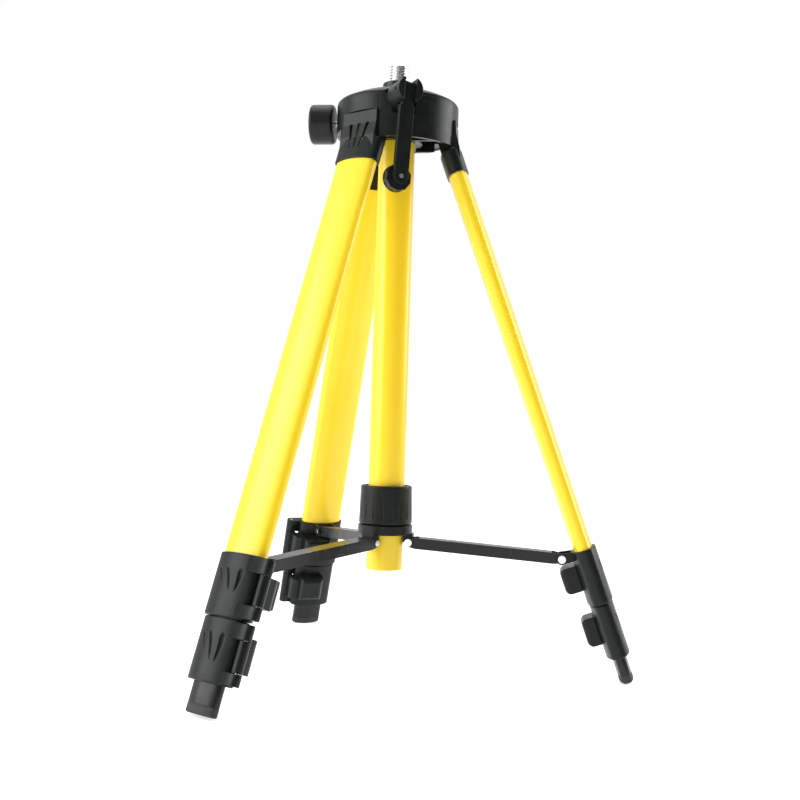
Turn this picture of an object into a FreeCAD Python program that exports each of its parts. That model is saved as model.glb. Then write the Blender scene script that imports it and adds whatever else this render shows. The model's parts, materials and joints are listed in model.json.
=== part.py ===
import FreeCAD, Part
import math
import os
from FreeCAD import Placement, Rotation, Vector

# All lengths are in millimetres. Z is up, the floor is at Z = 0 and the column stands on the Z axis.

# Legs: each one hangs on a pivot pin under the head and leans outwards.
legAzimuths = {"right": -30.0, "left": -150.0, "back": 90.0}
legSplay = 20.0
pivotRadius = 38.2
pivotHeight = 445.8
pivotPinRadius = 3.0

# Oval sections of the leg: half width, half thickness and radius of the rounded ends.
upperOval = (19.0, 8.0, 5.5)
upperBore = (18.1, 7.1, 4.6)
middleOval = (16.2, 6.85, 4.6)
middleBore = (15.4, 6.05, 3.8)
lowerOval = (13.75, 5.8, 4.2)
lowerBore = (12.75, 4.8, 3.2)
upperLockOval = (21.0, 10.5, 7.6)
lowerLockOval = (19.6, 9.6, 6.9)
socketOval = (21.0, 9.2, 6.7)

# Stations along the leg, measured down from the pivot.
socketTop = 19.0
socketEnd = 40.6
upperTubeTop = 22.0
upperTubeEnd = 372.5
upperLockTop = 361.5
upperLockEnd = 406.5
middleTubeTop = 56.0
middleTubeEnd = 418.0
lowerLockTop = 407.0
lowerLockEnd = 451.0
lowerTubeTop = 60.0
lowerTubeEnd = 466.0
footEnd = 472.6

# Flip levers: hinge line, barrel and pressing plate.
barrelRadius = 4.0
leverPinRadius = 1.5
leverGap = 0.35
leverWall = 3.2
leverFreeEnd = -5.5
upperLever = {"hinge": (4.5, 28.2), "barrel": (374.0, 395.6), "plate": (373.0, 394.0), "depth": 13.6, "side": 19.3}
lowerLever = {"hinge": (3.2, 25.0), "barrel": (419.5, 441.0), "plate": (416.0, 439.0), "depth": 10.8, "side": 16.5}

# Spreader: arms run from the sliding hub to an eye on each upper lock.
armPivotRadius = 20.0
armPivotHeight = 104.8
armEye = (-18.8, -364.4)
armWidth = 14.4
armHeight = 9.0
armSheet = 1.2
armTipRadius = 3.4
armNotch = 8.5
rivetRadius = 2.0
rivetHeadRadius = 3.2
rivetHeadHeight = 1.1
rivetTailRadius = 2.4
rivetTailHeight = 0.5
earThickness = 1.8
earRadius = 4.6

# Column and its winding gear.
tubeRadius = 15.0
tubeBore = 13.6
tubeLow = 82.0
tubeHigh = 448.0
columnRadius = 12.0
columnBore = 10.2
columnLow = 112.0
columnTop = 478.8
rackPitchX = -10.6
gearModule = 1.0
pinionTeeth = 16
toothHalfWidth = 2.6
pinionPitchRadius = gearModule * pinionTeeth / 2
shaftX = rackPitchX - pinionPitchRadius
shaftZ = 460.0
journalRadius = 3.0
runningGap = 0.05

# Crank.
crankHubRadius = 10.3
crankHubFront = -69.0
crankHubBack = -46.0
crankSlotWidth = 9.6
crankPinY = -62.4
crankSlotFloor = -55.2
crankLength = 67.0
crankLean = 3.5
crankArmWidth = 11.6
crankArmThickness = 4.6
crankArmHeel = 6.0
crankKnobRadius = 10.6

# Head.
headRadius = 50.5
headWall = 3.0
skirtLow = 429.0
skirtLowRear = 440.0
capSeat = 463.0
capTop = 477.0
capInnerRadius = 14.5
slotTop = 451.0
slotHalfWidth = 17.3
cheekThickness = 3.0
bossRadius = 21.0
platformRadius = 13.3
platformTop = 485.0
studRadius = 7.9375
studShankRadius = 6.8
studTop = 500.0
studChamfer = 1.1
studSink = 10.0
studReliefRadius = 8.5
studReliefDepth = 0.6

# Lock knob on the head.
lockAzimuth = 150.0
lockHeight = 451.6
lockKnobRadius = 16.25
lockKnobSpan = (53.0, 73.0)
lockScrewRadius = 3.0

# Spreader hub and its twist lock.
hubRadius = 22.5
hubLow = 111.0
hubHigh = 118.5
twistRadius = 22.0
twistLow = 119.2
twistHigh = 151.0
colletRadius = 17.4


def cylinder(radius, low, high, x=0.0, y=0.0):
    return Part.makeCylinder(radius, high - low, Vector(x, y, low))


def ring(outer, inner, low, high):
    return cylinder(outer, low, high).cut(cylinder(inner, low - 1, high + 1))


def rodAlongY(radius, low, high, x, z):
    return Part.makeCylinder(radius, high - low, Vector(x, low, z), Vector(0, 1, 0))


def rodAlongX(radius, low, high, y, z):
    return Part.makeCylinder(radius, high - low, Vector(low, y, z), Vector(1, 0, 0))


def box(xs, ys, zs):
    corner = Vector(xs[0], ys[0], zs[0])
    return Part.makeBox(xs[1] - xs[0], ys[1] - ys[0], zs[1] - zs[0], corner)


def turned(shape, azimuth):
    copy = shape.copy()
    copy.rotate(Vector(0, 0, 0), Vector(0, 0, 1), azimuth)
    return copy


def moved(shape, placement):
    copy = shape.copy()
    copy.Placement = placement.multiply(copy.Placement)
    return copy


def legPlacement(azimuth):
    """Leg space has its origin on the pivot, X outwards, Y around the column and Z up along the leg."""
    tilt = Placement(Vector(pivotRadius, 0, pivotHeight), Rotation(Vector(0, 1, 0), -legSplay))
    turn = Placement(Vector(0, 0, 0), Rotation(Vector(0, 0, 1), azimuth))
    return turn.multiply(tilt)


def headPoint(radius, height):
    """A point of the head's radial plane, in leg space."""
    dx = radius - pivotRadius
    dz = height - pivotHeight
    lean = math.radians(legSplay)
    x = dx * math.cos(lean) + dz * math.sin(lean)
    z = dz * math.cos(lean) - dx * math.sin(lean)
    return Vector(x, 0, z)


def ovalFace(oval, z):
    """Four tangent arcs: two broad ones across the thickness and two small ones at the ends."""
    halfWidth, halfThick, endRadius = oval
    endCentre = halfWidth - endRadius
    broad = (endCentre**2 + halfThick**2 - endRadius**2) / (2 * (halfThick - endRadius))
    back = broad - halfThick
    scale = broad / (broad - endRadius)
    tx = back * scale - back
    ty = endCentre * scale
    corners = [(tx, -ty), (halfThick, 0), (tx, ty), (0, halfWidth)]
    corners += [(-tx, ty), (-halfThick, 0), (-tx, -ty), (0, -halfWidth)]
    points = [Vector(x, y, z) for x, y in corners]
    arcs = [Part.Arc(points[i], points[i + 1], points[(i + 2) % 8]) for i in (0, 2, 4, 6)]
    return Part.Face(Part.Wire([arc.toShape() for arc in arcs]))


def ovalBar(oval, top, end):
    return ovalFace(oval, -end).extrude(Vector(0, 0, end - top))


def ovalTube(outer, bore, top, end):
    return ovalBar(outer, top, end).cut(ovalBar(bore, top - 1, end + 1))


def rimEdges(shape, heights):
    """The edges that lie flat at one of the heights."""
    found = []
    for edge in shape.Edges:
        bounds = edge.BoundBox
        if bounds.ZLength < 0.01 and any(abs(bounds.ZMin - z) < 0.01 for z in heights):
            found.append(edge)
    return found


def softened(shape, radius, heights):
    return shape.makeFillet(radius, rimEdges(shape, heights))


def clawGrooves(halfThick, top, length):
    """Three tapering grooves that spread outwards like claws, as one cutting tool."""
    tools = []
    for side, depth in ((-1, 0.2), (0, 0.0), (1, 0.2)):
        middleTop = side * 8.4
        middleLow = side * 4.6
        low = -(top + length)
        high = -top
        x = halfThick - 0.9 - depth * 4
        corners = [(middleTop - 1.7, high), (middleTop + 1.7, high), (middleLow + 0.4, low)]
        corners.append((middleLow - 0.4, low))
        points = [Vector(x, y, z) for y, z in corners]
        face = Part.Face(Part.makePolygon(points + points[:1]))
        tools.append(face.extrude(Vector(6, 0, 0)))
    return tools[0].multiFuse(tools[1:])


def legFitting():
    outer = [headPoint(49.8, 450.2), headPoint(46.05, 450.2)]
    inner = [headPoint(pivotRadius - 7.0, pivotHeight), Vector(-7.4, 0, -20), Vector(-5.5, 0, -33)]
    front = [Vector(5.5, 0, -33), Vector(8.6, 0, -20)]
    wall = headPoint(50.3, 440.0)
    crown = Part.Arc(outer[1], headPoint(pivotRadius + 0.5, pivotHeight + 8.0), inner[0]).toShape()
    edges = [Part.makeLine(outer[0], outer[1]), crown]
    rest = inner + front + [wall, outer[0]]
    edges += [Part.makeLine(a, b) for a, b in zip(rest, rest[1:])]
    profile = Part.Face(Part.Wire(edges))
    profile.translate(Vector(0, -slotHalfWidth + 0.35, 0))
    tongue = profile.extrude(Vector(0, 2 * slotHalfWidth - 0.7, 0))
    socket = softened(ovalBar(socketOval, socketTop, socketEnd), 3.5, [-socketTop])
    socket = softened(socket, 0.8, [-socketEnd])
    body = tongue.fuse(socket)
    body = body.cut(ovalBar(upperOval, upperTubeTop, socketEnd + 1))
    body = body.cut(rodAlongY(pivotPinRadius + runningGap, -30, 30, 0, 0))
    return body.cut(clawGrooves(socketOval[1], 9.0, 22.0))


def hingeColumn(lever, low, high, radius):
    x, y = lever["hinge"]
    return cylinder(radius, -high, -low, x, y)


def lockBody(oval, top, end, lever, tubes):
    """A clamp collar: an oval block with a lug at each end that carries the lever's hinge pin."""
    body = softened(ovalBar(oval, top, end), 1.0, [-top, -end])
    x, y = lever["hinge"]
    low, high = lever["barrel"]
    for start, stop in ((top + 1.2, low - leverGap), (high + leverGap, end - 1.2)):
        lug = hingeColumn(lever, start, stop, barrelRadius)
        lug = lug.fuse(box((x - barrelRadius, x + barrelRadius), (oval[0] - 6.0, y), (-stop, -start)))
        body = body.fuse(lug)
    body = body.cut(hingeColumn(lever, top, end, leverPinRadius))
    for bore, start, stop in tubes:
        body = body.cut(ovalBar(bore, start, stop))
    return body.cut(clawGrooves(oval[1], top + 10.0, 20.0))


def grown(oval, gap):
    return tuple(value + gap for value in oval)


def upperLock():
    tubes = ((upperOval, upperLockTop - 1, upperTubeEnd), (grown(middleOval, 0.25), 370, 410))
    body = lockBody(upperLockOval, upperLockTop, upperLockEnd, upperLever, tubes)
    eyeX, eyeZ = armEye
    inner = armWidth / 2 + 0.35
    for side in (-1, 1):
        low, high = sorted((side * inner, side * (inner + earThickness)))
        ear = rodAlongY(earRadius, low, high, eyeX, eyeZ)
        ear = ear.fuse(box((eyeX, -9.2), (low, high), (eyeZ - earRadius, eyeZ + earRadius - 1.8)))
        ear = ear.cut(ovalBar(upperOval, 350, 390))
        body = body.fuse(ear)
    body = body.cut(rodAlongY(rivetRadius, -20, 20, eyeX, eyeZ))
    return body.cut(box((-11, -9.3), (-inner, inner), (eyeZ - 7.5, eyeZ + 7)))


def lowerLock():
    tubes = ((middleOval, lowerLockTop - 1, middleTubeEnd), (grown(lowerOval, 0.25), 410, 460))
    return lockBody(lowerLockOval, lowerLockTop, lowerLockEnd, lowerLever, tubes)


def flipLever(oval, lever):
    """Barrel on the hinge pin, a wall around the collar's end and a rounded plate over its inner face."""
    x, y = lever["hinge"]
    low, high = lever["barrel"]
    start, stop = lever["plate"]
    face = -oval[1]
    back = face - lever["depth"]
    barrel = hingeColumn(lever, low, high, barrelRadius)
    outer = y - 1.0
    wall = box((face - leverWall, -1.5), (oval[0] - 6.0, outer), (-high, -low))
    bridge = box((-3.0, x), (y - barrelRadius, outer), (-high, -low))
    corner = [edge for edge in wall.Edges if edge.BoundBox.XMax < face and edge.BoundBox.YMin > outer - 0.01]
    wall = wall.makeFillet(6.0, [edge for edge in corner if edge.BoundBox.ZLength > 1])
    plate = box((back, face + 4.5), (leverFreeEnd, lever["side"]), (-stop, -start))
    rounded = [edge for edge in plate.Edges if abs(edge.BoundBox.XMax - back) < 0.01]
    plate = plate.makeFillet(4.8, rounded)
    body = barrel.multiFuse([wall, bridge, plate]).cut(ovalBar(grown(oval, leverGap), low - 5, stop + 5))
    return body.cut(hingeColumn(lever, low - 5, high + 5, leverPinRadius + runningGap))


def leverPin(lever, top, end):
    return hingeColumn(lever, top + 1.2, end - 1.2, leverPinRadius)


def rivetEnd(side):
    """Radius and height of a rivet's end: a broad head on one side and a small closing end on the other."""
    return (rivetHeadRadius, rivetHeadHeight) if side < 0 else (rivetTailRadius, rivetTailHeight)


def rivetStub(side, inner, outer, x, z):
    """A short shank through one wall, with the rivet's end outside it."""
    radius, height = rivetEnd(side)
    low, high = sorted((side * inner, side * outer))
    shank = rodAlongY(rivetRadius, low, high, x, z)
    low, high = sorted((side * outer, side * (outer + height)))
    return shank.fuse(rodAlongY(radius, low, high, x, z))


def upperPins():
    """The lever's hinge pin and the two rivet ends in the arm's eye."""
    inner = armWidth / 2 + 0.35
    ends = [rivetStub(side, inner, inner + earThickness, *armEye) for side in (-1, 1)]
    return Part.makeCompound([leverPin(upperLever, upperLockTop, upperLockEnd)] + ends)


def foot():
    cap = ovalBar(lowerOval, lowerTubeEnd, footEnd)
    return softened(cap, 1.6, [-footEnd])


def spreaderArm():
    """A channel open below, from the hub's rivet to the leg's eye, with rounded bare ends. X is outwards."""
    place = legPlacement(0.0)
    eye = place.multVec(Vector(armEye[0], 0, armEye[1]))
    root = Vector(armPivotRadius, 0, armPivotHeight)
    length = eye.sub(root).Length
    half = armHeight / 2
    tip = armTipRadius
    outer = [(6.0, -half), (length - 6.0, -half), (length - 6.0, half), (6.0, half)]
    points = [Vector(x, -armWidth / 2, z) for x, z in outer]
    web = Part.Face(Part.makePolygon(points + points[:1])).extrude(Vector(0, armWidth, 0))
    for x, side in ((0.0, 1), (length, -1)):
        end = rodAlongY(tip, -armWidth / 2, armWidth / 2, x, 0)
        taper = [(x, -tip), (x + side * 6.0, -half), (x + side * 6.0, half), (x, tip)]
        points = [Vector(a, -armWidth / 2, b) for a, b in taper]
        wedge = Part.Face(Part.makePolygon(points + points[:1])).extrude(Vector(0, armWidth, 0))
        web = web.fuse(end).fuse(wedge)
    inside = armWidth / 2 - armSheet
    web = web.cut(box((-9, length + 9), (-inside, inside), (-9, half - armSheet)))
    web = web.cut(box((-9, armNotch), (-inside, inside), (-9, 9)))
    web = web.cut(box((length - armNotch, length + 9), (-inside, inside), (-9, 9)))
    for x in (0.0, length):
        web = web.cut(rodAlongY(rivetRadius + runningGap, -20, 20, x, 0))
    slope = math.degrees(math.atan2(eye.z - root.z, eye.x - root.x))
    return moved(web, Placement(root, Rotation(Vector(0, 1, 0), -slope)))


def spreaderHub():
    body = ring(hubRadius, tubeRadius + 0.3, hubLow, hubHigh)
    body = body.makeFillet(1.0, rimEdges(body, [hubLow])[:1])
    inside = armWidth / 2 - armSheet - 0.25
    for azimuth in legAzimuths.values():
        lug = box((15.6, armPivotRadius + 3.6), (-inside, inside), (armPivotHeight, hubLow + 1))
        lug = lug.fuse(rodAlongY(3.6, -inside, inside, armPivotRadius, armPivotHeight))
        lug = lug.cut(cylinder(tubeRadius + 0.3, 90, 120))
        lug = lug.cut(rodAlongY(rivetRadius, -20, 20, armPivotRadius, armPivotHeight))
        body = body.fuse(turned(lug, azimuth))
    return body


def hubRivets():
    half = armWidth / 2 + 0.15
    rivet = rodAlongY(rivetRadius, -half, half, armPivotRadius, armPivotHeight)
    for side in (-1, 1):
        radius, height = rivetEnd(side)
        low, high = sorted((side * half, side * (half + height)))
        rivet = rivet.fuse(rodAlongY(radius, low, high, armPivotRadius, armPivotHeight))
    return Part.makeCompound([turned(rivet, azimuth) for azimuth in legAzimuths.values()])


def collet():
    """A sleeve with six spring fingers that the twist lock presses on the tube."""
    body = ring(colletRadius, tubeRadius + 0.3, hubHigh, twistHigh - 1.5)
    for i in range(3):
        slit = box((-30, 30), (-1.2, 1.2), (hubHigh + 6, twistHigh + 1))
        body = body.cut(turned(slit, 60.0 * i))
    return body


def twistCollar():
    outer = Part.makeCone(twistRadius, twistRadius - 0.9, twistHigh - twistLow, Vector(0, 0, twistLow))
    body = softened(outer, 1.6, [twistLow, twistHigh])
    body = body.cut(cylinder(colletRadius + 0.25, twistLow - 1, twistHigh + 1))
    count = 18
    for i in range(count):
        slot = rodSlot(twistRadius + 0.3, twistLow + 5.5, twistHigh - 6.5)
        body = body.cut(turned(slot, 360.0 * i / count))
    return body


def rodSlot(radius, low, high):
    rod = cylinder(1.1, low, high, radius, 0)
    return rod.fuse(Part.makeSphere(1.1, Vector(radius, 0, low))).fuse(Part.makeSphere(1.1, Vector(radius, 0, high)))


def liftColumn():
    body = ring(columnRadius, columnBore, columnLow, columnTop)
    return body.cut(box((-13, -5), (-toothHalfWidth - 0.3, toothHalfWidth + 0.3), (columnLow - 1, columnTop - 11.5)))


def rack():
    """A straight rack, with teeth facing the pinion."""
    pitch = math.pi * gearModule
    low = columnLow + 2
    count = int((columnTop - 12 - low) / pitch) - 1
    tip = rackPitchX - gearModule
    root = rackPitchX + 1.25 * gearModule
    slant = math.tan(math.radians(20.0))
    first = low + (shaftZ - low) % pitch
    points = [Vector(root, -toothHalfWidth, low)]
    for i in range(count):
        centre = first + pitch * i + pitch / 2
        wide = pitch / 4 - 0.06 + 1.25 * gearModule * slant
        slim = pitch / 4 - 0.06 - gearModule * slant
        points += [Vector(root, -toothHalfWidth, centre - wide), Vector(tip, -toothHalfWidth, centre - slim)]
        points += [Vector(tip, -toothHalfWidth, centre + slim), Vector(root, -toothHalfWidth, centre + wide)]
    high = points[-1].z + 1
    points += [Vector(root, -toothHalfWidth, high), Vector(-6.6, -toothHalfWidth, high), Vector(-6.6, -toothHalfWidth, low)]
    face = Part.Face(Part.makePolygon(points + points[:1]))
    return face.extrude(Vector(0, 2 * toothHalfWidth, 0))


def platform():
    plate = cylinder(platformRadius, columnTop, platformTop)
    plate = softened(plate, 0.8, [platformTop])
    plug = cylinder(columnBore, columnTop - 11, columnTop)
    relief = cylinder(studReliefRadius, platformTop - studReliefDepth, platformTop + 1)
    bore = cylinder(studShankRadius, columnTop - studSink, platformTop + 1)
    return plate.fuse(plug).cut(relief).cut(bore)


def stud():
    """A bare threaded end drawn as its outer cylinder, over a thinner shank sunk in the plug."""
    body = cylinder(studRadius, platformTop, studTop)
    body = body.makeChamfer(studChamfer, rimEdges(body, [studTop]))
    return body.fuse(cylinder(studShankRadius, columnTop - studSink, platformTop))


def pinionShaft():
    """Sixteen teeth cut on a shaft that runs forwards to the crank."""
    z = shaftZ
    shaft = rodAlongY(journalRadius, crankSlotFloor, 9.0, shaftX, z)
    root = pinionPitchRadius - 1.25 * gearModule
    gear = rodAlongY(root, -toothHalfWidth, toothHalfWidth, shaftX, z)
    slant = math.tan(math.radians(20.0))
    wide = math.pi * gearModule / 4 - 0.06 + 1.25 * gearModule * slant
    slim = math.pi * gearModule / 4 - 0.06 - gearModule * slant
    reach = pinionPitchRadius + gearModule
    profile = [(root - 0.5, -wide), (reach, -slim), (reach, slim), (root - 0.5, wide)]
    points = [Vector(shaftX + r, -toothHalfWidth, z + h) for r, h in profile]
    tooth = Part.Face(Part.makePolygon(points + points[:1])).extrude(Vector(0, 2 * toothHalfWidth, 0))
    teeth = []
    for i in range(pinionTeeth):
        copy = tooth.copy()
        copy.rotate(Vector(shaftX, 0, z), Vector(0, 1, 0), 360.0 * i / pinionTeeth)
        teeth.append(copy)
    return shaft.fuse(gear).multiFuse(teeth)


def crankHub():
    body = rodAlongY(crankHubRadius, crankHubFront, crankHubBack, shaftX, shaftZ)
    half = crankSlotWidth / 2
    slot = box((shaftX - half, shaftX + half), (-80, crankSlotFloor), (shaftZ - 20, shaftZ + 20))
    body = body.cut(slot)
    body = body.cut(rodAlongY(journalRadius, -80, -40, shaftX, shaftZ))
    return crankSpace(body.cut(rodAlongX(1.6, shaftX - 20, shaftX + 20, crankPinY, shaftZ)))


def crankPin():
    reach = crankHubRadius - 1
    return crankSpace(rodAlongX(1.6, shaftX - reach, shaftX + reach, crankPinY, shaftZ))


def crankSpace(shape):
    """Leans a shape that hangs straight down from the crank's hub."""
    copy = shape.copy()
    copy.rotate(Vector(shaftX, 0, shaftZ), Vector(0, 1, 0), crankLean)
    return copy


def crankArm():
    half = crankArmThickness / 2
    inner = crankSlotWidth / 2 - 0.3
    low = shaftZ - crankLength
    tang = rodAlongX(half, shaftX - inner, shaftX + inner, crankPinY, shaftZ)
    ys = (crankPinY - half, crankPinY + half)
    tang = tang.fuse(box((shaftX - inner, shaftX + inner), ys, (shaftZ - 13, shaftZ + crankArmHeel)))
    wide = crankArmWidth / 2
    blade = box((shaftX - wide, shaftX + wide), ys, (low, shaftZ - 11.6))
    blade = blade.fuse(rodAlongY(wide, ys[0], ys[1], shaftX, low))
    blade = blade.cut(rodAlongY(1.7, -90, -40, shaftX, low))
    body = tang.fuse(blade)
    return crankSpace(body.cut(rodAlongX(1.65, shaftX - 20, shaftX + 20, crankPinY, shaftZ)))


def crankKnob():
    """A many-sided grip that turns on the pin behind the arm's end."""
    back = crankPinY + crankArmThickness / 2 + 0.3
    low = shaftZ - crankLength
    body = rodAlongY(crankKnobRadius, back, back + 7.6, shaftX, low)
    flats = []
    count = 10
    for i in range(count):
        flat = box((shaftX + crankKnobRadius - 0.55, shaftX + 20), (back - 1, back + 6.2), (low - 20, low + 20))
        flat.rotate(Vector(shaftX, 0, low), Vector(0, 1, 0), 360.0 * i / count)
        flats.append(flat)
    body = body.cut(flats[0].multiFuse(flats[1:]))
    body = body.cut(rodAlongY(2.05, back - 1, back + 5.0, shaftX, low))
    return crankSpace(body)


def knobPin():
    front = crankPinY - crankArmThickness / 2
    back = crankPinY + crankArmThickness / 2
    low = shaftZ - crankLength
    body = rodAlongY(1.7, front, back, shaftX, low)
    body = body.fuse(rodAlongY(2.0, back, back + 4.9, shaftX, low))
    return crankSpace(body)


def lockAxisRod(radius, low, high):
    rod = Part.makeCylinder(radius, high - low, Vector(low, 0, lockHeight), Vector(1, 0, 0))
    return turned(rod, lockAzimuth)


def lockKnob():
    low, high = lockKnobSpan
    body = Part.makeCylinder(lockKnobRadius, high - low, Vector(low, 0, lockHeight), Vector(1, 0, 0))
    edges = [e for e in body.Edges if e.BoundBox.XLength < 0.01]
    body = body.makeFillet(2.6, edges)
    screw = Part.makeCylinder(lockScrewRadius, 15, Vector(low - 1, 0, lockHeight), Vector(1, 0, 0))
    return turned(body.cut(screw), lockAzimuth)


def lockScrew():
    return lockAxisRod(lockScrewRadius, 17.2, lockKnobSpan[0] + 14.0)


def brakeShoe():
    block = box((12.5, 16.9), (-2.9, 2.9), (lockHeight - 3.4, lockHeight + 4))
    block = block.cut(cylinder(12.4, 440, 470))
    return turned(block.common(cylinder(17.0, 440, 470)), lockAzimuth)


def headHousing():
    wall = ring(headRadius, headRadius - headWall, skirtLow, capSeat)
    boss = cylinder(bossRadius, skirtLow + 6, capSeat)
    parts = []
    for azimuth in legAzimuths.values():
        for side in (-1, 1):
            near = side * slotHalfWidth
            far = side * (slotHalfWidth + cheekThickness)
            cheek = box((14, 49), sorted((near, far)), (skirtLow + 4, capSeat))
            parts.append(turned(cheek, azimuth))
    walls = [box((shaftX - 7.5, -5), ys, (446, 470)) for ys in ((-8, -4), (4, 8))]
    pocket = box((-32, -4), (-49, -42.5), (444, capSeat))
    body = wall.fuse(boss).multiFuse(parts + [pocket])
    body = body.common(cylinder(headRadius, skirtLow, capSeat))
    for azimuth in legAzimuths.values():
        gap = box((26, 60), (-slotHalfWidth, slotHalfWidth), (skirtLow - 1, slotTop))
        gap = gap.fuse(box((26, 47.4), (-slotHalfWidth, slotHalfWidth), (slotTop - 1, capSeat + 1)))
        body = body.cut(turned(gap, azimuth))
        body = body.cut(turned(rodAlongY(pivotPinRadius, -20.3, 20.3, pivotRadius, pivotHeight), azimuth))
    for azimuth in (30.0, 150.0):
        wedge = turned(box((30, 60), (-26.5, 26.5), (skirtLow - 1, skirtLowRear)), azimuth)
        body = body.cut(wedge)
    body = body.cut(box((-30, -6), (-60, -44.5), (447, capSeat + 1)))
    body = body.cut(box((shaftX - 10.5, -6), (-4, 4), (448.5, capSeat + 1)))
    body = body.cut(box((-29, -5), (-40, 10), (451, capSeat + 1)).cut(cylinder(12.45, 440, 480)))
    body = body.multiFuse(walls)
    body = body.cut(cylinder(tubeRadius, skirtLow, tubeHigh)).cut(cylinder(12.45, tubeHigh - 1, 480))
    body = body.cut(rodAlongY(journalRadius + runningGap, -60, 10, shaftX, shaftZ))
    screwWay = lockAxisRod(lockScrewRadius + 0.15, 16, 60)
    shoeWay = turned(box((10, 17.2), (-4.2, 4.2), (lockHeight - 3.6, lockHeight + 6.2)), lockAzimuth)
    body = body.cut(screwWay).cut(shoeWay)
    # The cuts for the gear and the screw meet and leave a loose crumb, which is dropped.
    return max(body.Solids, key=lambda solid: solid.Volume)


def headCap():
    """A shallow dome with a rounded rim, open in the middle for the column and notched for the crank."""
    rim = headRadius
    outer = [Vector(rim, 0, capSeat), Vector(rim, 0, capSeat + 1.2)]
    rimMid = Vector(rim - 0.9, 0, capSeat + 3.0)
    rimEnd = Vector(rim - 2.8, 0, capSeat + 4.0)
    crown = Vector(capInnerRadius + 16.0, 0, capTop - 2.9)
    top = Vector(capInnerRadius, 0, capTop)
    bottom = Vector(capInnerRadius, 0, capTop - 2.6)
    under = Vector(rim - 6.0, 0, capSeat)
    edges = [Part.makeLine(outer[0], outer[1]), Part.Arc(outer[1], rimMid, rimEnd).toShape()]
    edges += [Part.Arc(rimEnd, crown, top).toShape(), Part.makeLine(top, bottom)]
    edges += [Part.makeLine(bottom, under), Part.makeLine(under, outer[0])]
    body = Part.Face(Part.Wire(edges)).revolve(Vector(0, 0, 0), Vector(0, 0, 1), 360)
    body = body.cut(box((-30, -6), (-60, -44.5), (440, 490)))
    body = body.cut(box((shaftX - 10, shaftX + 13), (-8.6, 8.6), (440, 470.6)))
    return body.cut(rodAlongY(crankHubRadius + 0.7, -60, -40, shaftX, shaftZ))


def undersideCovers():
    plate = ring(headRadius - headWall, bossRadius, skirtLowRear + 0.5, skirtLowRear + 3.0)
    for azimuth in legAzimuths.values():
        half = slotHalfWidth + cheekThickness
        plate = plate.cut(turned(box((0, 60), (-half, half), (430, 450)), azimuth))
    plate = plate.cut(box((-32, -4), (-60, -42.5), (430, 450)))
    for azimuth in (30.0, 150.0, 270.0):
        plate = plate.cut(turned(cylinder(1.4, 430, 450, 36.0, 0), azimuth))
    return plate


def coverScrews():
    screws = []
    for azimuth in (30.0, 150.0, 270.0):
        shank = cylinder(1.4, skirtLowRear + 0.5, skirtLowRear + 6.0, 36.0, 0)
        head = cylinder(2.8, skirtLowRear - 1.1, skirtLowRear + 0.5, 36.0, 0)
        head = head.cut(box((33, 39), (-0.4, 0.4), (skirtLowRear - 1.2, skirtLowRear - 0.5)))
        screws.append(turned(shank.fuse(head), azimuth))
    return Part.makeCompound(screws)


def pivotPins():
    half = slotHalfWidth + cheekThickness
    pin = rodAlongY(pivotPinRadius, -half, half, pivotRadius, pivotHeight)
    return Part.makeCompound([turned(pin, azimuth) for azimuth in legAzimuths.values()])


def legNodes(name, azimuth):
    place = legPlacement(azimuth)
    shapes = {
        "leg_fitting": legFitting(),
        "upper_tube": ovalTube(upperOval, upperBore, upperTubeTop, upperTubeEnd),
        "upper_lock": upperLock(),
        "upper_pins": upperPins(),
        "upper_lever": flipLever(upperLockOval, upperLever),
        "middle_tube": ovalTube(middleOval, middleBore, middleTubeTop, middleTubeEnd),
        "lower_lock": lowerLock(),
        "lower_pin": leverPin(lowerLever, lowerLockTop, lowerLockEnd),
        "lower_lever": flipLever(lowerLockOval, lowerLever),
        "lower_tube": ovalTube(lowerOval, lowerBore, lowerTubeTop, lowerTubeEnd),
        "foot": foot(),
    }
    nodes = {key + "_" + name: moved(shape, place) for key, shape in shapes.items()}
    nodes["spreader_arm_" + name] = turned(spreaderArm(), azimuth)
    return nodes


def allNodes():
    nodes = {
        "head_housing": headHousing(),
        "head_cap": headCap(),
        "underside_covers": undersideCovers(),
        "cover_screws": coverScrews(),
        "leg_pivot_pins": pivotPins(),
        "centre_tube": ring(tubeRadius, tubeBore, tubeLow, tubeHigh),
        "guide_bush": ring(tubeBore, columnRadius + 0.1, tubeHigh - 22, tubeHigh),
        "brake_shoe": brakeShoe(),
        "lift_column": liftColumn(),
        "rack": rack(),
        "platform": platform(),
        "stud": stud(),
        "pinion_shaft": pinionShaft(),
        "crank_hub": crankHub(),
        "crank_pin": crankPin(),
        "crank_arm": crankArm(),
        "knob_pin": knobPin(),
        "crank_knob": crankKnob(),
        "lock_knob": lockKnob(),
        "lock_screw": lockScrew(),
        "spreader_hub": spreaderHub(),
        "collet": collet(),
        "hub_rivets": hubRivets(),
        "twist_collar": twistCollar(),
    }
    for name, azimuth in legAzimuths.items():
        nodes.update(legNodes(name, azimuth))
    return nodes


os.makedirs("parts", exist_ok=True)
for node, shape in allNodes().items():
    bounds = shape.BoundBox
    print(node, len(shape.Solids), shape.isValid(), round(bounds.ZMin, 2), round(bounds.ZMax, 2))
    shape.exportStep("parts/" + node + ".step")
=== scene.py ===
import json
import math
import bpy
import numpy as np
from mathutils import Matrix, Vector


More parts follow.
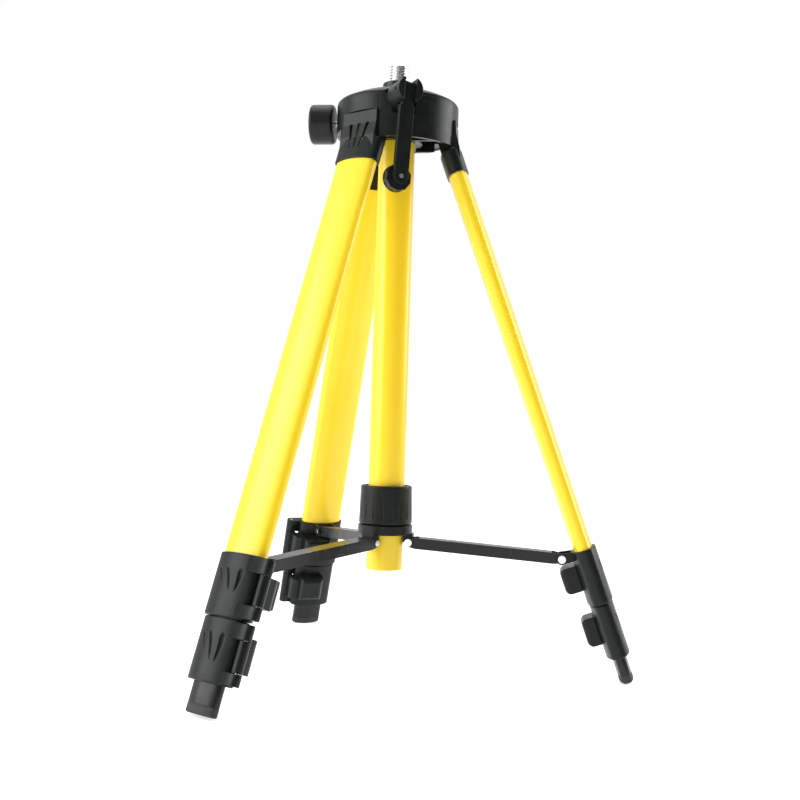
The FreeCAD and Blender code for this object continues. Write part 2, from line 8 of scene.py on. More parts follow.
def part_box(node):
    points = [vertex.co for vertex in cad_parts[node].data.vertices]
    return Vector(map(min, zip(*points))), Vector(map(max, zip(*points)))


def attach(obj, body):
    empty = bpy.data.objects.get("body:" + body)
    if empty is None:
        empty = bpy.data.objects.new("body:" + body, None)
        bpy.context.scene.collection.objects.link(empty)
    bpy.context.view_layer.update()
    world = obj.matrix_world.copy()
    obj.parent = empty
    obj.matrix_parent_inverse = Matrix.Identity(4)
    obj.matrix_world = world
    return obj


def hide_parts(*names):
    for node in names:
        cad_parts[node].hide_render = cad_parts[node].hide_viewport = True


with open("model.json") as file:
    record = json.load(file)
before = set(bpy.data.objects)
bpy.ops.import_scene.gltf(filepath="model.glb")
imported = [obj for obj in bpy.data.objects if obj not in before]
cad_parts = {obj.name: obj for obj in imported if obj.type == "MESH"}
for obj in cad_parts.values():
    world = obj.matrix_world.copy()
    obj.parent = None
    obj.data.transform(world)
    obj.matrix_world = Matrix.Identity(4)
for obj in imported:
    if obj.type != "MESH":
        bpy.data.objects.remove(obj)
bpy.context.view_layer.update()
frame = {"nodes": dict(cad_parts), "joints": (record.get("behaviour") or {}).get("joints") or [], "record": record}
record = frame["record"]
joints = {joint["name"]: joint for joint in frame["joints"]}
legNames = ("right", "left", "back")
mm = 0.001
print("frame loaded:", len(frame["nodes"]), "nodes")


def unit(vector):
    vector = np.asarray(vector, float)
    return vector / np.linalg.norm(vector)


def nodePoints(node):
    mesh = frame["nodes"][node].data
    flat = np.empty(len(mesh.vertices) * 3)
    mesh.vertices.foreach_get("co", flat)
    return flat.reshape(-1, 3)


# each leg's own space: x outwards, y around the column, z up the leg, with the pivot at its origin
def legSpace(name):
    pivot = joints["leg_fold_" + name]
    up = -unit(joints["middle_" + name + "_slide"]["axis"])
    around = unit(pivot["axis"])
    outward = np.cross(around, up)
    return {"origin": np.array(pivot["pos_m"]), "axes": np.array([outward, around, up])}


def toWorld(space, local):
    return local @ space["axes"] + space["origin"]


def toLocal(space, points):
    return (points - space["origin"]) @ space["axes"].T


def localBox(space, node):
    local = toLocal(space, nodePoints(node))
    return local.min(0), local.max(0)


def smoothStep(low, high, value):
    t = np.clip((value - low) / (high - low), 0, 1)
    return t * t * (3 - 2 * t)


# a closed skin from a grid of points: rows run along v, columns round u, and the open ends get a fan
def gridMesh(name, points, wrapRows=False, capEnds=True, smooth=True):
    rows, columns = points.shape[:2]
    index = np.arange(rows * columns).reshape(rows, columns)
    right = np.roll(index, -1, axis=1)
    if wrapRows:
        quads = np.stack([index, right, np.roll(right, -1, axis=0), np.roll(index, -1, axis=0)], -1)
    else:
        quads = np.stack([index[:-1], right[:-1], right[1:], index[1:]], -1)
    quads = quads.reshape(-1, 4)
    verts = points.reshape(-1, 3)
    triangles = np.empty((0, 3), int)
    if capEnds and not wrapRows:
        ends = np.stack([points[0].mean(0), points[-1].mean(0)])
        verts = np.vstack([verts, ends])
        low = np.full(columns, rows * columns)
        high = low + 1
        triangles = np.vstack([np.stack([right[0], index[0], low], -1),
                               np.stack([index[-1], right[-1], high], -1)])
    mesh = bpy.data.meshes.new(name)
    halves = np.vstack([quads[:, [0, 1, 2]], quads[:, [0, 2, 3]], triangles])
    a, b, c = (verts[halves[:, corner]] for corner in range(3))
    volume = (a * np.cross(b, c)).sum()  # six times the volume, negative if the skin is inside out
    if volume < 0:
        quads = quads[:, ::-1]
        triangles = triangles[:, ::-1]
    loops = np.concatenate([quads.ravel(), triangles.ravel()]).astype(np.int32)
    sizes = np.concatenate([np.full(len(quads), 4), np.full(len(triangles), 3)]).astype(np.int32)
    mesh.vertices.add(len(verts))
    mesh.vertices.foreach_set("co", verts.astype(np.float32).ravel())
    mesh.loops.add(len(loops))
    mesh.loops.foreach_set("vertex_index", loops)
    mesh.polygons.add(len(sizes))
    starts = np.concatenate([[0], np.cumsum(sizes)[:-1]]).astype(np.int32)
    mesh.polygons.foreach_set("loop_start", starts)
    mesh.polygons.foreach_set("loop_total", sizes)
    mesh.polygons.foreach_set("use_smooth", np.full(len(sizes), smooth))
    mesh.update(calc_edges=True)
    mesh.validate()
    piece = bpy.data.objects.new(name, mesh)
    bpy.context.scene.collection.objects.link(piece)
    return piece


def dress(piece, material, body, slotName, *nodes):
    piece.data.materials.clear()
    piece.data.materials.append(material)
    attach(piece, body)
    if nodes:
        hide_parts(*nodes)
    return piece


def newGroup(name, inputs, outputs):
    group = bpy.data.node_groups.new(name, "ShaderNodeTree")
    for label, kind, value in inputs:
        socket = group.interface.new_socket(label, in_out="INPUT", socket_type=kind)
        socket.default_value = value
    for label, kind in outputs:
        group.interface.new_socket(label, in_out="OUTPUT", socket_type=kind)
    return group, group.nodes.new("NodeGroupInput"), group.nodes.new("NodeGroupOutput")


def addNode(tree, kind, **settings):
    node = tree.nodes.new(kind)
    for key, value in settings.items():
        setattr(node, key, value)
    return node


def mathNode(tree, operation, first, second):
    node = addNode(tree, "ShaderNodeMath", operation=operation)
    for slotIndex, value in enumerate((first, second)):
        if hasattr(value, "is_output"):
            tree.links.new(value, node.inputs[slotIndex])
        else:
            node.inputs[slotIndex].default_value = value
    return node.outputs[0]


def remap(tree, value, low, high, newLow=0.0, newHigh=1.0):
    node = addNode(tree, "ShaderNodeMapRange", interpolation_type="SMOOTHSTEP")
    tree.links.new(value, node.inputs["Value"])
    for label, number in (("From Min", low), ("From Max", high), ("To Min", newLow), ("To Max", newHigh)):
        node.inputs[label].default_value = number
    return node.outputs["Result"]


# moulding or paint texture: a fine and a coarse noise, as a height and as a soft mask
def buildGrainGroup():
    inputs = [("Fine Scale", "NodeSocketFloat", 900.0), ("Coarse Scale", "NodeSocketFloat", 60.0)]
    inputs.append(("Coarse Share", "NodeSocketFloat", 0.3))
    outputs = [("Height", "NodeSocketFloat"), ("Mottle", "NodeSocketFloat")]
    group, source, sink = newGroup("surfaceGrain", inputs, outputs)
    place = addNode(group, "ShaderNodeTexCoord")
    fine = addNode(group, "ShaderNodeTexNoise")
    coarse = addNode(group, "ShaderNodeTexNoise")
    fine.inputs["Detail"].default_value = 3.0
    coarse.inputs["Detail"].default_value = 5.0
    coarse.inputs["Roughness"].default_value = 0.6
    for noise, label in ((fine, "Fine Scale"), (coarse, "Coarse Scale")):
        group.links.new(place.outputs["Object"], noise.inputs["Vector"])
        group.links.new(source.outputs[label], noise.inputs["Scale"])
    weighted = mathNode(group, "MULTIPLY", coarse.outputs["Fac"], source.outputs["Coarse Share"])
    height = mathNode(group, "ADD", fine.outputs["Fac"], weighted)
    group.links.new(height, sink.inputs["Height"])
    group.links.new(remap(group, coarse.outputs["Fac"], 0.3, 0.7), sink.inputs["Mottle"])
    return group


# rubbed edges: where the rounded normal turns away from the true one, broken up by noise
def buildEdgeGroup():
    inputs = [("Radius", "NodeSocketFloat", 0.0008), ("Patchy Scale", "NodeSocketFloat", 140.0)]
    outputs = [("Mask", "NodeSocketFloat"), ("Rounded Normal", "NodeSocketVector")]
    group, source, sink = newGroup("edgeWear", inputs, outputs)
    bevel = addNode(group, "ShaderNodeBevel", samples=4)
    group.links.new(source.outputs["Radius"], bevel.inputs["Radius"])
    geometry = addNode(group, "ShaderNodeNewGeometry")
    turn = addNode(group, "ShaderNodeVectorMath", operation="DOT_PRODUCT")
    group.links.new(bevel.outputs["Normal"], turn.inputs[0])
    group.links.new(geometry.outputs["Normal"], turn.inputs[1])
    edge = remap(group, turn.outputs["Value"], 0.995, 0.85)
    place = addNode(group, "ShaderNodeTexCoord")
    noise = addNode(group, "ShaderNodeTexNoise")
    noise.inputs["Detail"].default_value = 4.0
    group.links.new(place.outputs["Object"], noise.inputs["Vector"])
    group.links.new(source.outputs["Patchy Scale"], noise.inputs["Scale"])
    mask = mathNode(group, "MULTIPLY", edge, remap(group, noise.outputs["Fac"], 0.35, 0.65, 0.25, 1.0))
    group.links.new(mask, sink.inputs["Mask"])
    group.links.new(bevel.outputs["Normal"], sink.inputs["Rounded Normal"])
    return group


# dust: what lies on faces that look up, in soft patches
def buildDustGroup():
    inputs = [("Patch Scale", "NodeSocketFloat", 35.0), ("Speck Scale", "NodeSocketFloat", 700.0)]
    group, source, sink = newGroup("dustFilm", inputs, [("Mask", "NodeSocketFloat")])
    place = addNode(group, "ShaderNodeTexCoord")
    geometry = addNode(group, "ShaderNodeNewGeometry")
    split = addNode(group, "ShaderNodeSeparateXYZ")
    group.links.new(geometry.outputs["Normal"], split.inputs[0])
    upward = remap(group, split.outputs["Z"], 0.1, 0.95)
    patches = addNode(group, "ShaderNodeTexNoise")
    specks = addNode(group, "ShaderNodeTexNoise")
    for noise, label in ((patches, "Patch Scale"), (specks, "Speck Scale")):
        group.links.new(place.outputs["Object"], noise.inputs["Vector"])
        group.links.new(source.outputs[label], noise.inputs["Scale"])
    speckled = mathNode(group, "MULTIPLY", remap(group, patches.outputs["Fac"], 0.35, 0.7),
                        remap(group, specks.outputs["Fac"], 0.45, 0.7, 0.3, 1.0))
    group.links.new(mathNode(group, "MULTIPLY", upward, speckled), sink.inputs["Mask"])
    return group


grainGroup = buildGrainGroup()
edgeGroup = buildEdgeGroup()
dustGroup = buildDustGroup()
print("shader groups built")


def placeGroup(tree, group, **values):
    node = addNode(tree, "ShaderNodeGroup", node_tree=group)
    for label, value in values.items():
        node.inputs[label.replace("_", " ")].default_value = value
    return node


def mixColour(tree, factor, first, second):
    node = addNode(tree, "ShaderNodeMix", data_type="RGBA")
    tree.links.new(factor, node.inputs[0])
    for socket, value in ((node.inputs[6], first), (node.inputs[7], second)):
        if hasattr(value, "is_output"):
            tree.links.new(value, socket)
        else:
            socket.default_value = (*value, 1.0)
    return node.outputs[2]


# one moulded, painted or plated finish out of its dictionary of values
def makeFinish(name, look):
    material = bpy.data.materials.new(name)
    material.use_nodes = True
    tree = material.node_tree
    shader = tree.nodes["Principled BSDF"]
    for label, value in look["shader"].items():
        shader.inputs[label].default_value = value
    grain = placeGroup(tree, grainGroup, Fine_Scale=look["fineScale"], Coarse_Scale=look["coarseScale"],
                       Coarse_Share=look["coarseShare"])
    edge = placeGroup(tree, edgeGroup, Radius=look["edgeRadius"], Patchy_Scale=160.0)
    dust = placeGroup(tree, dustGroup, Patch_Scale=40.0, Speck_Scale=900.0)
    colour = mixColour(tree, grain.outputs["Mottle"], look["colour"], look["mottle"])
    worn = mathNode(tree, "MULTIPLY", edge.outputs["Mask"], look["wear"])
    colour = mixColour(tree, worn, colour, look["wornColour"])
    dusty = mathNode(tree, "MULTIPLY", dust.outputs["Mask"], look["dust"])
    colour = mixColour(tree, dusty, colour, (0.55, 0.52, 0.47))
    tree.links.new(colour, shader.inputs["Base Color"])
    low, high = look["roughness"]
    rough = remap(tree, grain.outputs["Mottle"], 0.0, 1.0, low, high)
    rough = mathNode(tree, "ADD", rough, mathNode(tree, "MULTIPLY", dusty, 0.3))
    tree.links.new(rough, shader.inputs["Roughness"])
    bump = addNode(tree, "ShaderNodeBump")
    bump.inputs["Strength"].default_value = look["bump"]
    bump.inputs["Distance"].default_value = look["bumpDepth"]
    tree.links.new(grain.outputs["Height"], bump.inputs["Height"])
    tree.links.new(edge.outputs["Rounded Normal"], bump.inputs["Normal"])
    tree.links.new(bump.outputs["Normal"], shader.inputs["Normal"])
    return material


finishes = {
    "black_plastic": {
        "colour": (0.006, 0.009, 0.008), "mottle": (0.008, 0.011, 0.010), "wornColour": (0.07, 0.075, 0.07),
        "wear": 0.30, "dust": 0.04, "roughness": (0.28, 0.36), "fineScale": 1500.0, "coarseScale": 120.0,
        "coarseShare": 0.4, "edgeRadius": 0.0007, "bump": 0.22, "bumpDepth": 0.0003,
        "shader": {"IOR": 1.30}},
    "yellow_enamel": {
        "colour": (0.93, 0.665, 0.016), "mottle": (0.94, 0.675, 0.018), "wornColour": (0.86, 0.60, 0.03),
        "wear": 0.10, "dust": 0.01, "roughness": (0.30, 0.35), "fineScale": 420.0, "coarseScale": 45.0,
        "coarseShare": 0.3, "edgeRadius": 0.0004, "bump": 0.05, "bumpDepth": 0.0003,
        "shader": {"IOR": 1.5, "Coat Weight": 0.15, "Coat Roughness": 0.15}},
    "black_metal": {
        "colour": (0.012, 0.013, 0.014), "mottle": (0.016, 0.017, 0.017), "wornColour": (0.14, 0.14, 0.13),
        "wear": 0.25, "dust": 0.03, "roughness": (0.20, 0.28), "fineScale": 1100.0, "coarseScale": 90.0,
        "coarseShare": 0.5, "edgeRadius": 0.0004, "bump": 0.15, "bumpDepth": 0.0002,
        "shader": {"IOR": 1.34}},
    "chrome": {
        "colour": (0.78, 0.79, 0.80), "mottle": (0.72, 0.73, 0.75), "wornColour": (0.9, 0.9, 0.9),
        "wear": 0.3, "dust": 0.02, "roughness": (0.10, 0.20), "fineScale": 1800.0, "coarseScale": 150.0,
        "coarseShare": 0.5, "edgeRadius": 0.0002, "bump": 0.06, "bumpDepth": 0.0002,
        "shader": {"Metallic": 1.0}},
    "steel": {
        "colour": (0.50, 0.50, 0.49), "mottle": (0.42, 0.42, 0.42), "wornColour": (0.7, 0.7, 0.7),
        "wear": 0.4, "dust": 0.05, "roughness": (0.28, 0.42), "fineScale": 1500.0, "coarseScale": 150.0,
        "coarseShare": 0.6, "edgeRadius": 0.0002, "bump": 0.1, "bumpDepth": 0.0002,
        "shader": {"Metallic": 1.0}},
    "bright_rivet": {
        "colour": (0.86, 0.87, 0.88), "mottle": (0.80, 0.81, 0.82), "wornColour": (0.95, 0.95, 0.95),
        "wear": 0.4, "dust": 0.03, "roughness": (0.22, 0.32), "fineScale": 1700.0, "coarseScale": 260.0,
        "coarseShare": 0.6, "edgeRadius": 0.0004, "bump": 0.1, "bumpDepth": 0.0002,
        "shader": {"Metallic": 1.0}},
    "satin_aluminium": {
        "colour": (0.66, 0.67, 0.68), "mottle": (0.62, 0.63, 0.64), "wornColour": (0.85, 0.85, 0.85),
        "wear": 0.3, "dust": 0.03, "roughness": (0.28, 0.36), "fineScale": 1500.0, "coarseScale": 80.0,
        "coarseShare": 0.4, "edgeRadius": 0.0003, "bump": 0.1, "bumpDepth": 0.0002,
        "shader": {"Metallic": 1.0}},
    "black_rubber": {
        "colour": (0.022, 0.023, 0.023), "mottle": (0.03, 0.031, 0.03), "wornColour": (0.08, 0.08, 0.08),
        "wear": 0.5, "dust": 0.12, "roughness": (0.55, 0.72), "fineScale": 1300.0, "coarseScale": 200.0,
        "coarseShare": 0.6, "edgeRadius": 0.0008, "bump": 0.4, "bumpDepth": 0.0003,
        "shader": {"IOR": 1.45}},
}
materials = {name: makeFinish(name + "_finish", look) for name, look in finishes.items()}
slotOf = {part["node"]: part["material_slot"] for part in record["subparts"]}
for nodeName, nodeObject in frame["nodes"].items():
    nodeObject.data.materials.clear()
    nodeObject.data.materials.append(materials[slotOf[nodeName]])
print("finishes on", len(frame["nodes"]), "nodes")


# points and outward directions at even steps along an oval of four arcs:
# every point is its arc's centre plus its arc's radius times the direction the normal has there
def ovalRing(oval, count):
    halfWidth, halfThick, endRadius = oval
    endCentre = halfWidth - endRadius
    broad = (endCentre ** 2 + halfThick ** 2 - endRadius ** 2) / (2 * (halfThick - endRadius))
    back = broad - halfThick

    def around(angle):
        normal = np.stack([np.cos(angle), np.sin(angle)], -1)
        atEnd = np.abs(normal[:, 1]) * back > np.abs(normal[:, 0]) * endCentre
        endPoint = np.stack([0 * angle, np.sign(normal[:, 1]) * endCentre], -1) + endRadius * normal
        sidePoint = np.stack([-np.sign(normal[:, 0]) * back, 0 * angle], -1) + broad * normal
        return np.where(atEnd[:, None], endPoint, sidePoint), normal

    angle = np.linspace(0, 2 * math.pi, 8193)
    steps = np.linalg.norm(np.diff(around(angle)[0], axis=0), axis=1)
    length = np.concatenate([[0], np.cumsum(steps)])
    even = np.interp(np.linspace(0, length[-1], count, endpoint=False), length, angle)
    return around(even)


# rows of a skin over an oval: each row is the ring pushed out by its offset and set at its height
def ovalRows(ring, offsets, heights):
    points, normals = ring
    offsets = np.asarray(offsets, float)
    if offsets.ndim == 1:
        offsets = offsets[:, None]
    flat = points[None] + normals[None] * (offsets * np.ones(len(points)))[..., None]
    up = np.broadcast_to(np.asarray(heights, float)[:, None, None], flat.shape[:2] + (1,))
    return np.concatenate([flat, up], -1)


# how far a rounded rim draws back, which is a quarter circle within the rim's radius of either end
def rimDraw(heights, low, high, radius):
    into = np.clip(radius - np.minimum(heights - low, high - heights), 0, radius)
    return radius - np.sqrt(np.maximum(radius ** 2 - into ** 2, 0))


# heights that crowd together round the two rims and are even in between
def rimHeights(low, high, radius, count):
    edge = radius * (1 - np.cos(np.linspace(0, math.pi / 2, 6)))
    middle = np.linspace(low + radius, high - radius, count)
    return np.concatenate([low + edge[:-1], middle, high - edge[:-1][::-1]])


tubeValues = {
    "upper": {"body": "leg_", "finish": "yellow_enamel", "wall": 0.9, "endRadius": 5.5},
    "lower": {"body": "lower_", "finish": "black_metal", "wall": 1.0, "endRadius": 4.2},
}
tubeShared = {"columns": 192, "rim": 0.25, "rows": 40}


# a leg section: the oval's outer skin and its bore, joined round both rims
def makeTube(size, name):
    values = {**tubeShared, **tubeValues[size]}
    space = legSpace(name)
    node = size + "_tube_" + name
    low, high = localBox(space, node)
    oval = (high[1] / mm, high[0] / mm, values["endRadius"])
    bore = tuple(value - values["wall"] for value in oval)
    heights = rimHeights(low[2] / mm, high[2] / mm, values["rim"], values["rows"])
    draw = rimDraw(heights, heights[0], heights[-1], values["rim"])
    outer = ovalRows(ovalRing(oval, values["columns"]), -draw, heights)
    inner = ovalRows(ovalRing(bore, values["columns"]), draw, heights)[::-1]
    points = toWorld(space, np.concatenate([outer, inner]) * mm)
    dress(gridMesh(size + "_section_" + name, points, wrapRows=True), materials[values["finish"]],
          values["body"] + name, values["finish"], node)


footValues = {"columns": 192, "endRadius": 4.2, "round": 1.6, "crown": 3.4, "support": 0.4, "collar": 2.0}


# a foot: the lower section's oval closed below by a quarter-round rim and a nearly flat sole
def makeFoot(name, values):
    space = legSpace(name)
    low, high = localBox(space, "foot_" + name)
    ring = ovalRing((high[1] / mm, high[0] / mm, values["endRadius"]), values["columns"])
    turn = np.linspace(math.pi / 2, 0, 9)
    bottom, top, rim = low[2] / mm, high[2] / mm, values["round"]
    crown, support = values["crown"], values["support"]
    offsets = np.concatenate([[-crown, support - crown], -rim * (1 - np.cos(turn)), [0, 0, 0, -support]])
    upper = [top - values["collar"], top - support / 2, top, top]
    heights = np.concatenate([[bottom, bottom], bottom + rim * (1 - np.sin(turn)), upper])
    points = toWorld(space, ovalRows(ring, offsets, heights) * mm)
    dress(gridMesh("rubber_foot_" + name, points), materials["black_rubber"], "lower_" + name, "black_rubber",
          "foot_" + name)


for legName in legNames:
    makeTube("upper", legName)
    makeTube("lower", legName)
    makeFoot(legName, footValues)
print("leg sections and feet made")


# grooves like a claw's three scratches, as a depth over the outer face: each follows a centre line that
# hooks at the top and leans to a point below, steep on its near side and sloping gently on the other
def clawDepth(y, down, values):
    total = np.zeros(np.broadcast(y, down).shape)
    for start, end, halfWidth, reach in values["claws"]:
        t = (down - values["clawTop"]) / (values["clawLength"] * reach)
        inside = (t > 0) & (t < 1)
        t = np.clip(t, 1e-4, 1)
        centre = start + (end - start) * t - values["hook"] * (1 - t) ** 4
        half = halfWidth * np.sqrt(np.clip(t / 0.14, 0, 1)) * np.power(1 - t + 1e-6, 0.75) + 0.02
        across = (y - centre) / half
        steep = smoothStep(-1.0, -0.62, across)
        gentle = 1 - smoothStep(-0.5, 1.0, across)
        depth = steep * gentle * np.minimum(1, 3 * (1 - t)) * np.minimum(1, half / 0.7)
        total = np.maximum(total, np.where(inside & (np.abs(across) < 1), depth, 0))
    return total * values["clawDepth"]


# a rounded plate: its outline drawn in a little at both faces, carried along the third direction
def platePoints(outline, low, high, rounding):
    centre = outline.mean(0)
    reach = np.linalg.norm(outline - centre, axis=1, keepdims=True)
    bend = np.concatenate([[1.6], 1 - np.sin(np.linspace(0, math.pi / 2, 5))])
    rise = np.concatenate([[0.0], 1 - np.cos(np.linspace(0, math.pi / 2, 5))])
    rows = [centre + (outline - centre) * (1 - draw * rounding / reach) for draw in bend]
    rows = rows + rows[::-1]
    heights = np.concatenate([low + rise * rounding, high - rise[::-1] * rounding])
    return np.stack([np.column_stack([row, np.full(len(row), height)]) for row, height in zip(rows, heights)])


# half a circle about a hinge, joined by straight sides to the body it grows from
def lugOutline(centreX, centreY, radius, roots):
    turn = np.linspace(0, math.pi, 24)
    arc = np.column_stack([centreX + radius * np.cos(turn), centreY + radius * np.sin(turn)])
    return np.vstack([arc, np.array(roots, float)])


lockValues = {
    "upper": {"outer": "upper_tube_", "inner": "middle_tube_", "body": "leg_",
              "endRadii": (7.6, 5.5, 4.85), "step": 11.0, "hinge": (4.5, 28.2),
              "lugs": ((1.2, 12.15), (34.45, 43.8)), "clawTop": 11.0,
              "claws": ((-10.6, -5.0, 1.6, 0.75), (-1.9, 3.3, 1.8, 1.0), (10.6, 7.4, 2.6, 1.0)),
              "clawLength": 18.0, "ears": True,
              "length": 45.0, "roots": ((0.5, 19.9), (5.2, 17.3), (8.5, 12.5))},
    "lower": {"outer": "middle_tube_", "inner": "lower_tube_", "body": "middle_",
              "endRadii": (6.9, 4.6, 4.45), "step": 11.0, "hinge": (3.2, 25.0),
              "lugs": ((1.2, 12.15), (34.35, 42.8)), "clawTop": 10.0,
              "claws": ((-9.8, -4.6, 1.6, 0.75), (-1.8, 3.0, 1.8, 1.0), (9.8, 6.6, 2.6, 1.0)),
              "clawLength": 22.0, "ears": False,
              "length": 44.0, "roots": ((-0.8, 18.0), (4.0, 16.0), (7.2, 10.5))},
}
lockShared = {"columns": 240, "rows": 96, "rim": 1.0, "gap": 0.25, "lugRadius": 4.0,
              "plateRound": 0.5, "clawDepth": 1.25, "hook": 1.7,
              "ear": {"x": -18.8, "below": 2.9, "radius": 4.6, "low": 7.55, "high": 9.35,
                      "rounding": 0.3, "roots": ((-4.6, 8.6), (2.8, 8.6))}}


# a clamp collar: its outer oval with rounded rims and claw grooves, and a stepped bore over two tubes
def makeLock(size, name):
    values = {**lockShared, **lockValues[size]}
    space = legSpace(name)
    node = size + "_lock_" + name
    low, high = localBox(space, node)
    outerRadius, upperRadius, lowerRadius = values["endRadii"]
    end = low[2] / mm
    top = end + values["length"]
    ring = ovalRing((-low[1] / mm, high[0] / mm, outerRadius), values["columns"])
    heights = rimHeights(end, top, values["rim"], values["rows"])
    draw = rimDraw(heights, end, top, values["rim"])[:, None]
    outward = smoothStep(0.55, 0.8, ring[1][:, 0])[None]
    grooves = clawDepth(ring[0][None, :, 1], top - heights[:, None], values) * outward
    outer = ovalRows(ring, -draw - grooves, heights)
    rings = []
    shelf = top - values["step"]
    bores = ((values["outer"], upperRadius, 0.0, (top, shelf)),
             (values["inner"], lowerRadius, values["gap"], (shelf, end)))
    for tube, radius, gap, rows in bores:
        corner = localBox(space, tube + name)[1] / mm
        bore = ovalRing((corner[1] + gap, corner[0] + gap, radius), values["columns"])
        rings.append(ovalRows(bore, (0.0, 0.0), rows))
    points = np.concatenate([outer, *rings]) * mm
    pieces = [gridMesh(size + "_collar_" + name, toWorld(space, points), wrapRows=True)]
    hingeX, hingeY = values["hinge"]
    outline = lugOutline(hingeX, hingeY, values["lugRadius"], values["roots"])
    for index, (start, stop) in enumerate(values["lugs"]):
        lug = platePoints(outline, top - stop, top - start, values["plateRound"])
        pieces.append(gridMesh(f"{size}_lug_{name}_{index}", toWorld(space, lug * mm)))
    if values["ears"]:
        ear = values["ear"]
        shape = lugOutline(0, -ear["x"], ear["radius"], ear["roots"])
        for side in (-1, 1):
            plate = platePoints(shape, ear["low"], ear["high"], ear["rounding"])
            local = np.stack([-plate[..., 1], side * plate[..., 2], plate[..., 0] + top - ear["below"]], -1)
            pieces.append(gridMesh(f"arm_ear_{name}_{(side + 1) // 2}", toWorld(space, local * mm)))
    for piece in pieces:
        dress(piece, materials["black_plastic"], values["body"] + name, "black_plastic", node)


for legName in legNames:
    makeLock("upper", legName)
    makeLock("lower", legName)
print("lock collars made")


studValues = {"pitch": 25.4 / 11, "depth": 1.15, "chamfer": 1.3, "threadLow": 0.9, "shank": 6.8,
              "columns": 96, "rows": 260}


# a screw thread: the radius falls from the crest by a triangle wave of height over pitch less the turn,
# held down at the tip's chamfer and faded out above the platform
def makeStud(values):
    low, high = (np.array(corner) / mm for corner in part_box("stud"))
    radius = (high[0] - low[0]) / 2
    centre = (high[:2] + low[:2]) / 2
    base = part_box("platform")[1][2] / mm
    turn = np.linspace(0, 2 * math.pi, values["columns"], endpoint=False)[None]
    heights = np.concatenate([[low[2]], np.linspace(base, high[2], values["rows"])])[:, None]
    wave = np.abs(2 * np.mod(heights / values["pitch"] - turn / (2 * math.pi), 1) - 1)
    runOut = smoothStep(base, base + values["threadLow"], heights)
    crest = radius - values["depth"] * smoothStep(0.12, 0.88, wave) * runOut
    tip = radius - values["depth"] - np.maximum(0, heights - (high[2] - values["chamfer"])) * 0.9
    tip = np.where(heights > high[2] - values["chamfer"], tip + values["depth"], radius)
    reach = np.where(heights < base + 0.3, values["shank"], np.minimum(crest, tip))
    points = np.stack([centre[0] + reach * np.cos(turn), centre[1] + reach * np.sin(turn),
                       heights + 0 * turn], -1)
    dress(gridMesh("threaded_stud", points * mm), materials["chrome"], "column", "chrome", "stud")


makeStud(studValues)
print("threaded stud made")


stageValues = {"floorReach": 14.0, "floorColour": (0.86, 0.86, 0.86), "floorRoughness": 0.30,
               "glow": 0.62, "gloss": 1.18}


# the floor is one flat disc of rings, wide enough to fill the view
def makeFloor(values):
    turn = np.linspace(0, 2 * math.pi, 96, endpoint=False)
    radius = values["floorReach"] * np.linspace(0.002, 1, 24) ** 2
    points = np.stack([np.outer(radius, np.cos(turn)), np.outer(radius, np.sin(turn)),
                       np.zeros((len(radius), len(turn)))], -1)
    low = points[::-1].copy()
    low[..., 2] = -0.01
    floor = gridMesh("studio_floor", np.concatenate([points, low]), smooth=False)
    material = bpy.data.materials.new("studio_paper")
    material.use_nodes = True
    shader = material.node_tree.nodes["Principled BSDF"]
    shader.inputs["Base Color"].default_value = (*values["floorColour"], 1)
    shader.inputs["Roughness"].default_value = values["floorRoughness"]
    shader.inputs["IOR"].default_value = values["gloss"]
    shader.inputs["Emission Color"].default_value = (1, 1, 1, 1)
    shader.inputs["Emission Strength"].default_value = values["glow"]
    floor.data.materials.append(material)


makeFloor(stageValues)

worldValues = {"bright": 0.86, "dim": 0.05, "seen": 1.0, "brightFrom": (-0.45, 0.85, 0.3)}


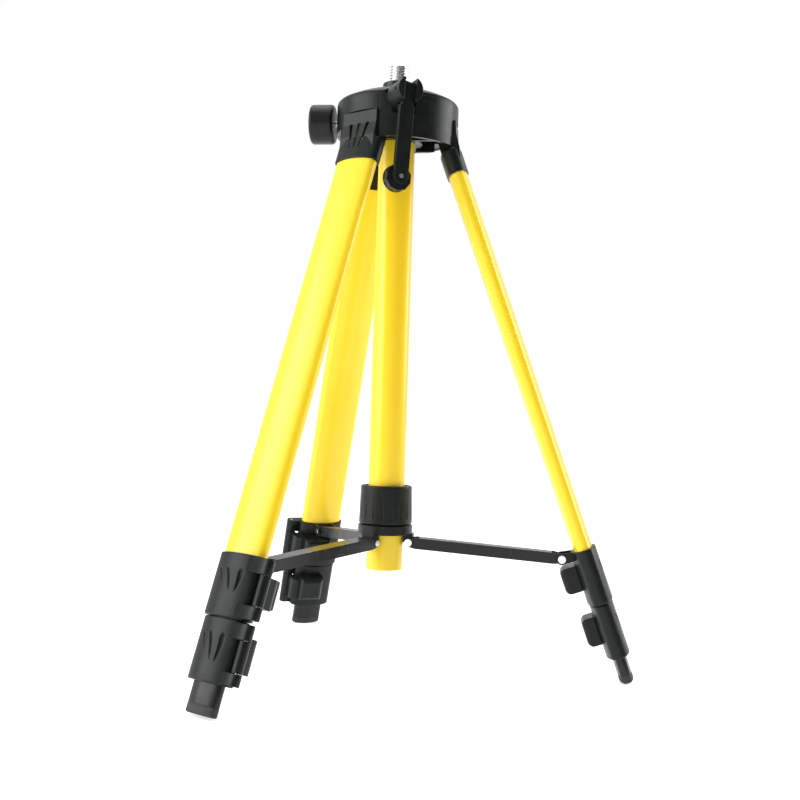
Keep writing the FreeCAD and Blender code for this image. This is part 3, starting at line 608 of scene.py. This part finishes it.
# bright paper all round the back and left, a dimmer room in front; the camera itself sees plain white
def makeWorld(values):
    world = bpy.data.worlds.new("studio_world")
    bpy.context.scene.world = world
    world.use_nodes = True
    tree = world.node_tree
    background = tree.nodes["Background"]
    place = addNode(tree, "ShaderNodeTexCoord")
    lean = addNode(tree, "ShaderNodeVectorMath", operation="DOT_PRODUCT")
    tree.links.new(place.outputs["Generated"], lean.inputs[0])
    lean.inputs[1].default_value = tuple(unit(values["brightFrom"]))
    level = remap(tree, lean.outputs["Value"], -0.75, 0.35, values["dim"], values["bright"])
    path = addNode(tree, "ShaderNodeLightPath")
    mix = addNode(tree, "ShaderNodeMix", data_type="FLOAT")
    tree.links.new(path.outputs["Is Camera Ray"], mix.inputs[0])
    tree.links.new(level, mix.inputs[2])
    mix.inputs[3].default_value = values["seen"]
    tree.links.new(mix.outputs[0], background.inputs["Strength"])
    background.inputs["Color"].default_value = (1, 1, 1, 1)


makeWorld(worldValues)

lightValues = {
    "left_key": {"at": (-1.6, 0.1, 0.8), "size": 1.3, "power": 21.0},
    "right_fill": {"at": (1.4, -0.2, 0.7), "size": 0.9, "power": 13.0},
    "top_soft": {"at": (0.1, 0.2, 1.9), "size": 1.4, "power": 12.0},
}


def makeLights(values):
    aim = Vector((0, 0, 0.25))
    for name, light in values.items():
        data = bpy.data.lights.new(name, "AREA")
        data.shape = "SQUARE"
        data.size = light["size"]
        data.energy = light["power"]
        lamp = bpy.data.objects.new(name, data)
        lamp.location = light["at"]
        lamp.rotation_euler = (aim - Vector(light["at"])).to_track_quat("-Z", "Y").to_euler()
        bpy.context.scene.collection.objects.link(lamp)


makeLights(lightValues)

cameraValues = {"distance": 0.8810, "height": 0.2059, "aside": -22.792, "yaw": 0.0102, "pitch": 0.0181,
                "roll": 0.0305, "lens": 47.71}


def makeCamera(values):
    yaw, pitch, roll = values["yaw"], values["pitch"], values["roll"]
    forward = Vector((math.sin(yaw) * math.cos(pitch), math.cos(yaw) * math.cos(pitch), math.sin(pitch)))
    right = Vector((math.cos(yaw), -math.sin(yaw), 0))
    up = right.cross(forward)
    rolledRight = right * math.cos(roll) + up * math.sin(roll)
    rolledUp = up * math.cos(roll) - right * math.sin(roll)
    turn = Matrix.Rotation(math.radians(values["aside"]), 3, "Z")
    axes = Matrix((turn @ rolledRight, turn @ rolledUp, turn @ -forward)).transposed()
    data = bpy.data.cameras.new("studio_camera")
    data.lens = values["lens"]
    data.sensor_width = 36.0
    data.clip_start = 0.01
    camera = bpy.data.objects.new("studio_camera", data)
    place = turn @ Vector((0, -values["distance"], values["height"]))
    camera.matrix_world = Matrix.Translation(place) @ axes.to_4x4()
    bpy.context.scene.collection.objects.link(camera)
    bpy.context.scene.camera = camera


makeCamera(cameraValues)
bpy.context.scene.view_settings.view_transform = "Standard"
print("stage, lights and camera set")
